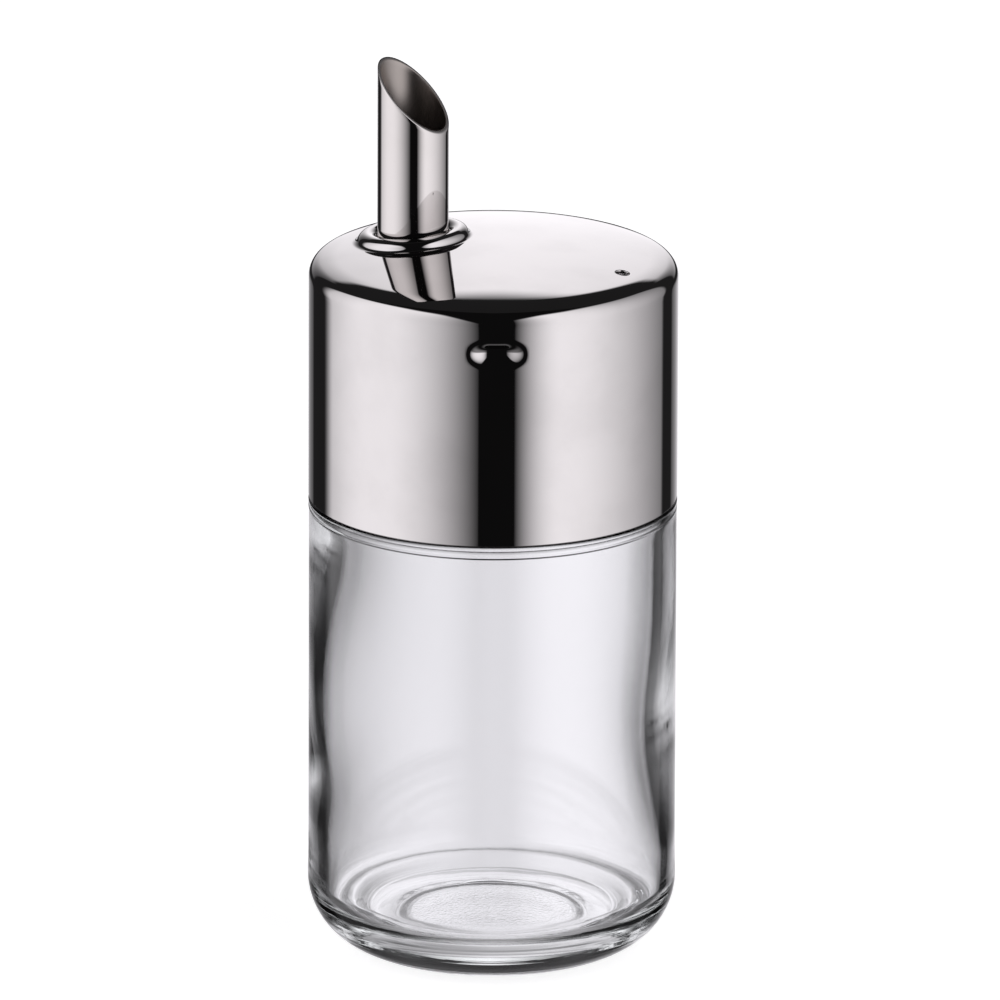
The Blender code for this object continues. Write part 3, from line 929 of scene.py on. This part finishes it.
@dataclass
class GlassJar:
    """The jar: pressed glass with a thick base, a shoulder, and the neck with its ribs that the cap hides."""

    sizes: JarSizes = field(default_factory=JarSizes)
    floor_rows: int = 24
    step_rows: int = 28
    fillet_rows: int = 40
    wall_rows: int = 44
    shoulder_rows: int = 36
    bore_rows: int = 6
    rim_rows: int = 5
    rib_rows: int = 34
    neck_rows: int = 8
    root_rows: int = 6
    ledge_rows: int = 14
    ridge_rows: int = 26
    side_rows: int = 14
    heel_rows: int = 56
    punt_rows: int = 16
    punt_flat_rows: int = 12

    def wall_radius(self, height: Array | float) -> Array:
        """Inside radius of the wall: the jar's less the wall, plus one slow sine wave from floor to ledge."""
        size = self.sizes
        reach = (height - size.floor_height) / (size.ledge_height - size.floor_height)
        return size.radius - size.wall + size.swell * np.sin(TURN * reach)

    def inside(self) -> Array:
        """Profile of the inside: floor, fillet, swelling wall, and a cosine that draws in to the bore.

        The floor is crowned by a parabola, and near its edge it steps up by a smooth step that fades again
        along the fillet.
        """
        size = self.sizes
        start = size.floor_height + size.floor_fillet
        edge = float(self.wall_radius(start)) - size.floor_fillet
        bend = size.step_start / edge
        share = np.concatenate(
            [np.linspace(0.0, bend, self.floor_rows), np.linspace(bend, 1.0, self.step_rows)[1:]]
        )
        floor = np.stack([edge * share, size.floor_height + size.floor_crown * (1 - share**2)], axis=1)
        low = run_on(floor, arc((edge, start), size.floor_fillet, -pi / 2, 0.0, self.fillet_rows))
        fade = 1 - smooth_step(low[:, 0], edge, edge + size.floor_fillet)
        low[:, 1] += size.step_rise * smooth_step(low[:, 0], size.step_start, size.step_end) * fade
        end = size.ledge_height - size.inner_start
        height = np.linspace(start, end, self.wall_rows)
        wall = np.stack([self.wall_radius(height), height], axis=1)
        share = np.linspace(0.0, 1.0, self.shoulder_rows)
        draw_in = (float(self.wall_radius(end)) - size.neck_bore) * (1 + np.cos(pi * share)) / 2
        shoulder = np.stack([size.neck_bore + draw_in, end + size.inner_run * share], axis=1)
        top = size.neck_top - size.neck_rim
        neck = line((size.neck_bore, shoulder[-1, 1]), (size.neck_bore, top), self.bore_rows)
        return run_on(low, wall, shoulder, neck)

    def outside(self) -> Array:
        """Profile of the outside: neck, root, ledge, side, heel, foot ring, and the punt.

        The punt rises by a cosine from the foot ring to its flat middle.
        """
        size = self.sizes
        rim, root, edge, heel = size.neck_rim, size.neck_root, size.ledge_edge, size.heel_radius
        top, neck_foot = size.neck_top - rim, size.ledge_height + root
        rib_low = size.rib_foot - size.rib_drop - size.rib_flank - size.rib_gap
        slope = np.linspace(size.punt_radius, size.punt_flat, self.punt_rows)
        reach = np.concatenate([slope, np.linspace(size.punt_flat, 0.0, self.punt_flat_rows)[1:]])
        share = np.clip((size.punt_radius - reach) / (size.punt_radius - size.punt_flat), 0, 1)
        punt = np.stack([reach, size.punt_height * (1 - np.cos(pi * share)) / 2], axis=1)
        return run_on(
            arc((size.neck_bore + rim, top), rim, pi, pi / 2, self.rim_rows),
            arc((size.neck_radius - rim, top), rim, pi / 2, 0.0, self.rim_rows),
            line((size.neck_radius, top), (size.neck_radius, rib_low), self.rib_rows),
            line((size.neck_radius, rib_low), (size.neck_radius, neck_foot), self.neck_rows),
            arc((size.neck_radius + root, neck_foot), root, pi, 3 * pi / 2, self.root_rows),
            arc((size.radius - edge, size.ledge_height - edge), edge, pi / 2, 0.0, self.ledge_rows),
            self.side(),
            arc((size.radius - heel, heel), heel, 0.0, -pi / 2, self.heel_rows),
            punt,
        )

    def side(self) -> Array:
        """Profile of the side: straight, with the mould's ring under the ledge as a bell curve."""
        size = self.sizes
        ridge = size.side_ridge
        top, foot = size.ledge_height - size.ledge_edge, ridge.place - 4 * ridge.wide
        rest = np.linspace(size.fine_side_foot, size.heel_radius, self.side_rows)
        height = np.concatenate([np.linspace(top, foot, self.ridge_rows), rest])
        radius = size.radius - ridge.rise + self.ridge_rise(height, (ridge,))
        radius[[0, -1]] = size.radius
        return np.stack([radius, height], axis=1)

    @staticmethod
    def ridge_rise(place: Array, ridges: tuple[Ridge, ...]) -> Array:
        """Sum of bell curves, one for each ridge."""
        return sum(ridge.rise * np.exp(-(((place - ridge.place) / ridge.wide) ** 2)) for ridge in ridges)

    def thicken(self, grid: Array, inner_rows: int, turns: Array) -> Array:
        """Make the wall uneven: the sum of the spots' depths moves the inside towards the axis.

        Args:
            grid: points of the jar.
            inner_rows: how many of its rows belong to the inside.
            turns: angle of each column.

        Returns:
            The same points with the spots pressed in, faded out at the neck and along the floor's fillet.
        """
        size = self.sizes
        inside = grid[:inner_rows]
        plan, height = plan_radius(inside), inside[..., 2]
        depth = sum(spot.press(turns, height) for spot in size.spots)
        on_wall = smooth_step(plan, *size.bore_fade)
        low = smooth_step(height, size.floor_height, size.floor_height + size.floor_fillet)
        inside[..., :2] *= (1 - depth * on_wall * low / plan)[..., None]
        return grid

    def streak_foot(self, profile: Array) -> Array:
        """Lay fine rings in the heel, the base and the floor.

        Each point moves along the profile's normal by a sum of sines of its distance along the profile, faded
        out above the heel and towards the middle, and by the ridges of the floor and the foot.

        Args:
            profile: the whole half section, from the middle of the floor to the middle of the base.

        Returns:
            The half section with its fine rings.
        """
        size = self.sizes
        step = np.gradient(profile, axis=0)
        length = np.linalg.norm(step, axis=1)
        normal = np.stack([-step[:, 1], step[:, 0]], axis=1) / length[:, None]
        run = np.cumsum(length) * TURN / size.streak_span
        wave = sum(rise * np.sin(rate * run + shift) for rise, rate, shift in size.streak_waves)
        reach, height = profile.T
        low = 1 - smooth_step(height, *size.streak_top)
        outer = np.arange(len(profile)) > len(profile) // 2
        push = size.streak * wave * smooth_step(reach, *size.streak_inner)
        push -= self.ridge_rise(reach, size.foot_ridges) * (outer & (height < size.foot_top))
        push += self.ridge_rise(reach, size.floor_ridges) * ~outer
        push *= low
        push[[0, -1]] = 0.0
        moved = profile + normal * push[:, None]
        moved[:, 0] = np.minimum(moved[:, 0], size.radius)
        moved[outer, 1] = np.maximum(moved[outer, 1], 0.0)
        return moved

    def raise_ribs(self, grid: Array, turns: Array) -> Array:
        """Raise the ribs on the neck.

        A rib's height over the neck is the product of a smooth step along its lead-in, one at its end, and a
        straight rise at each flank; past the stop's start its lower flank sits lower.

        Args:
            grid: points of the jar.
            turns: angle of each column.

        Returns:
            The same points with the ribs raised.
        """
        size = self.sizes
        swing = (CAP.lug_azimuth - turns) % (TURN / CAP.lug_count)
        growth = smooth_step(swing, size.rib_lead - size.rib_lead_early, size.rib_lead + size.rib_taper)
        end = smooth_step(swing, size.rib_end - size.rib_end_early, size.rib_end + size.rib_end_late)
        growth = growth * (1 - end)
        stop = smooth_step(swing, size.rib_stop - size.rib_stop_soft, size.rib_stop + size.rib_stop_soft)
        foot, top = size.rib_foot - size.rib_drop * stop, size.rib_foot + size.rib_edge
        height, plan = grid[..., 2], plan_radius(grid)
        band = np.clip((height - foot + size.rib_flank) / size.rib_flank, 0, 1)
        band = band * (1 - np.clip((height - top) / size.rib_top_flank, 0, 1))
        on_neck = np.abs(plan - size.neck_radius) < size.near
        on_neck &= height > size.ledge_height + size.neck_root
        lift = (size.rib_radius - size.neck_radius) * growth * band * on_neck
        grid[..., :2] *= (1 + lift / plan)[..., None]
        return grid

    def build(self) -> bpy.types.Object:
        """Build and dress the jar: its whole profile turned about Z, closed by a point at each end."""
        turns = even_turns(self.sizes.columns)
        inside = self.inside()
        profile = self.streak_foot(run_on(inside, self.outside()))
        grid = self.raise_ribs(turn_profile(profile[1:-1], turns), turns)
        grid = self.thicken(grid, len(inside) - 1, turns)
        shape = Shape()
        places = shape.add(grid)
        shape.skin(places)
        shape.fan(places[0], np.array([0.0, 0.0, profile[0, 1]]))
        shape.fan(places[-1][::-1], np.array([0.0, 0.0, profile[-1, 1]]))
        jar = shape.make("pressed_glass_jar")
        finish = GlassFinish("clear_pressed_glass", "#fbfbfc", "#c3cdc8")
        return settle(jar, finish, Body.JAR, "glass_jar")


@dataclass
class ClearSeal:
    """The seal: a flat moulded ring between the glass rim and the cap's ceiling."""

    bore: float = 23.9 * MM
    radius: float = 26.1 * MM
    bottom: float = 107.576 * MM
    top: float = 109.176 * MM
    edge: float = 0.25 * MM
    edge_rows: int = 4
    columns: int = 192

    def build(self) -> bpy.types.Object:
        """Build and dress the ring: a rounded oblong turned about Z."""
        edge, quarter = self.edge, pi / 2
        outer, inner = self.radius - edge, self.bore + edge
        high, low = self.top - edge, self.bottom + edge
        corners = ((outer, high), (outer, low), (inner, low), (inner, high))
        arcs = [
            arc(corner, edge, (1 - i) * quarter, -i * quarter, self.edge_rows)
            for i, corner in enumerate(corners)
        ]
        shape = Shape()
        shape.skin(shape.add(turn_profile(np.concatenate(arcs), even_turns(self.columns))), wrap_rows=True)
        seal = shape.make("moulded_clear_seal")
        finish = SiliconeFinish("moulded_silicone", "#e8ebea", "#cfd4d3")
        return settle(seal, finish, Body.SEAL, "seal_ring")


@dataclass(frozen=True)
class LightBox:
    """A tall soft box beside the camera, by direction from the object, in degrees.

    Its brightness rises as a quarter sine from its near edge, falls off past its middle and ends in a soft
    far edge. Its top edge is lower towards both ends by a cube, and below its foot it only glows.
    """

    side: Side
    near: float
    rise: float
    level: float
    fall: tuple[float, float]
    fall_depth: float
    far: tuple[float, float]
    top: float
    top_middle: float
    top_droop: float
    top_soft: float = 4.0
    foot: tuple[float, float] = (-30.0, -20.0)
    foot_level: float = 0.22

    def brightness(self, azimuth: Field, elevation: Field) -> Field:
        """Brightness that the box gives in each direction: degrees from the front to the right, and up."""
        away = azimuth * float(self.side.value)
        share = ((away - self.near) / self.rise).via("MAXIMUM", 0.0).via("MINIMUM", 1.0)
        glow = (share * (pi / 2)).via("SINE") * self.level
        glow = glow * (1.0 - away.ramp(*self.fall) * self.fall_depth) * (1.0 - away.ramp(*self.far))
        glow = glow * (elevation.ramp(*self.foot) * (1.0 - self.foot_level) + self.foot_level)
        top = abs(away - self.top_middle) ** 3.0 * -self.top_droop + self.top
        return glow * (1.0 - elevation.ramp(top - self.top_soft, top + self.top_soft))


@dataclass(frozen=True)
class Fall:
    """How a sheet dies off to one side, in degrees: an exponential of a power, with a soft end."""

    width: float
    power: float
    end: float
    soft: float = 2.0

    def share(self, behind: Field) -> Field:
        """Share of the sheet's level that is left at an angle from straight behind."""
        glow = ((behind / self.width) ** self.power * -1.0).via("EXPONENT")
        return glow * (1.0 - behind.ramp(self.end - self.soft, self.end + self.soft))


@dataclass(frozen=True)
class BackSheet:
    """A pale sheet behind the object, by direction, in degrees, brightest straight behind it.

    Its top edge sinks away from the middle, less on the left than on the right.
    """

    level: float
    left: Fall
    right: Fall
    foot: float
    top: float
    soft: float = 2.0
    droop: float = 0.0
    droop_span: tuple[float, float] = (4.0, 13.0)
    left_droop: float = 0.6

    def brightness(self, azimuth: Field, elevation: Field) -> Field:
        """Brightness that the sheet gives in each direction: degrees from the front to the right, and up."""
        behind = 180.0 - abs(azimuth)
        is_right = azimuth.via("GREATER_THAN", 0.0)
        glow = (self.left.share(behind) * (1.0 - is_right) + self.right.share(behind) * is_right) * self.level
        sink = behind.ramp(*self.droop_span) * (is_right * (1.0 - self.left_droop) + self.left_droop)
        top = sink * -self.droop + self.top
        glow = glow * elevation.ramp(self.foot - self.soft, self.foot + self.soft)
        return glow * (1.0 - elevation.ramp(top - self.soft, top + self.soft))


@dataclass
class Studio:
    """Plain pale floor, soft light boxes on both sides, pale sheets behind, and the camera."""

    boxes: tuple[LightBox, ...] = (
        LightBox(
            Side.LEFT, near=8.0, rise=65.0, level=1.36, fall=(85.0, 155.0), fall_depth=0.62,
            far=(119.0, 132.0), top=57.0, top_middle=70.0, top_droop=2.0e-4,
        ),
        LightBox(
            Side.RIGHT, near=13.1, rise=30.8, level=1.38, fall=(42.0, 167.0), fall_depth=1.0,
            far=(129.5, 134.0), top=60.0, top_middle=74.0, top_droop=1.2e-4,
        ),
    )
    sheets: tuple[BackSheet, ...] = (
        BackSheet(1.34, Fall(16.0, 1.5, 33.0), Fall(19.5, 2.0, 30.5), foot=-2.5, top=33.8, droop=6.0),
        BackSheet(0.94, Fall(13.0, 1.15, 27.0), Fall(21.0, 2.0, 31.0), foot=-56.0, top=-12.0),
    )
    left_cut: tuple[float, float] = (-9.6, -8.6)
    table_steep: tuple[float, float] = (-62.0, -38.0)
    table_front: tuple[float, float] = (-0.3, 0.1)
    table_level: float = 0.4
    flag_span: tuple[float, float] = (100.0, 125.0)
    flag_level: float = 0.012
    dark_level: float = 0.006
    floor_radius: float = 1.6
    floor_drop: float = 0.02 * MM
    floor_columns: int = 96
    floor_glow: float = 0.80
    floor_grain: float = 3.0 * MM
    floor_grain_glow: float = 0.004
    target: Vector = field(default_factory=lambda: Vector((0.0, 0.0, 58.86 * MM)))
    distance: float = 3.792
    elevation: float = radians(17.416)
    roll: float = radians(0.211)
    lens: float = 883.04
    sensor: float = 36.0
    clip: tuple[float, float] = (0.1, 20.0)
    bounces: int = 24
    glossy_bounces: int = 8
    aim_right: float = 1.11 * MM
    aim_up: float = 11.59 * MM

    def light(self) -> None:
        """Make the world: boxes and sheets by direction, and plain white where the camera looks past.

        The left box is cut off sharply before the dark front, steep directions show the far half of a pale
        table, and two dark flags behind the boxes give off a trace of light.
        """
        world = bpy.data.worlds.new("soft_studio")
        bpy.context.scene.world = world
        tree = empty_tree(world)
        x, y, z = Field.parts(tree, add_node(tree, "TexCoord").outputs["Generated"])
        azimuth = x.via("ARCTAN2", y * -1.0).via("DEGREES")
        elevation = z.via("ARCSINE").via("DEGREES")
        glow = self.boxes[0].brightness(azimuth, elevation) * (1.0 - azimuth.ramp(*self.left_cut))
        for light in (*self.boxes[1:], *self.sheets):
            glow = glow + light.brightness(azimuth, elevation)
        steep = 1.0 - elevation.ramp(*self.table_steep)
        glow = glow * (1.0 - steep) + steep * y.ramp(*self.table_front) * self.table_level
        glow = glow + abs(azimuth).ramp(*self.flag_span) * self.flag_level + self.dark_level
        studio = add_node(tree, "Background", {"Color": linear("#fdfbff"), "Strength": glow})
        plain = add_node(tree, "Background", {"Color": linear("#ffffff"), "Strength": 1.0})
        seen = add_node(tree, "LightPath").outputs["Is Camera Ray"]
        mixed = add_node(tree, "MixShader", {0: seen, 1: studio.outputs[0], 2: plain.outputs[0]})
        add_node(tree, "OutputWorld", {"Surface": mixed.outputs[0]})

    def floor(self) -> None:
        """Lay the floor: a pale disc with a faint shadow, which the glass and the steel don't show."""
        shape = Shape()
        edge = np.array([[self.floor_radius, -self.floor_drop]])
        ring = shape.add(turn_profile(edge, even_turns(self.floor_columns)))
        shape.fan(ring[0], np.array([0.0, 0.0, -self.floor_drop]))
        floor = shape.make("floor")
        material = bpy.data.materials.new("matt_pale_floor")
        tree = empty_tree(material)
        place = add_node(tree, "TexCoord").outputs["Object"]
        grain = add_node(tree, "TexNoise", {"Vector": place, "Scale": 1 / self.floor_grain, "Detail": 2.0})
        shade = Field(tree, grain.outputs[0]) * self.floor_grain_glow + self.floor_glow
        matt = add_node(tree, "BsdfDiffuse", {"Color": linear("#d8d8d8")})
        glow = add_node(tree, "Emission", {"Color": linear("#ffffff"), "Strength": shade})
        both = add_node(tree, "AddShader", {0: matt.outputs[0], 1: glow.outputs[0]})
        add_node(tree, "OutputMaterial", {"Surface": both.outputs[0]})
        floor.data.materials.append(material)
        floor.visible_glossy = False
        floor.visible_transmission = False

    def camera(self) -> None:
        """Set the camera at the photograph's viewing angle."""
        data = bpy.data.cameras.new("camera")
        data.lens, data.sensor_width = self.lens, self.sensor
        data.clip_start, data.clip_end = self.clip
        camera = bpy.data.objects.new("camera", data)
        bpy.context.scene.collection.objects.link(camera)
        back = Vector((0.0, -cos(self.elevation), sin(self.elevation)))
        up = Vector((0.0, sin(self.elevation), cos(self.elevation)))
        camera.location = self.target + back * self.distance
        aim = self.target + Vector((1.0, 0.0, 0.0)) * self.aim_right + up * self.aim_up
        look = (aim - camera.location).to_track_quat("-Z", "Y").to_matrix().to_4x4()
        camera.matrix_world = Matrix.Translation(camera.location) @ look @ Matrix.Rotation(self.roll, 4, "Z")
        bpy.context.scene.camera = camera

    def build(self) -> None:
        """Build the studio and set how light is followed and shown."""
        self.light()
        self.floor()
        self.camera()
        scene = bpy.context.scene
        scene.view_settings.view_transform = "Standard"
        scene.cycles.max_bounces = self.bounces
        scene.cycles.glossy_bounces = self.glossy_bounces
        scene.cycles.transmission_bounces = self.bounces


def main() -> None:
    """Build the studio and every piece in order."""
    logging.basicConfig(level=logging.INFO, format="%(name)s: %(message)s")
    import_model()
    Studio().build()
    for piece in (GlassJar(), ClearSeal(), SteelCap(), PouringTube()):
        piece.build()


if __name__ == "__main__":
    main()
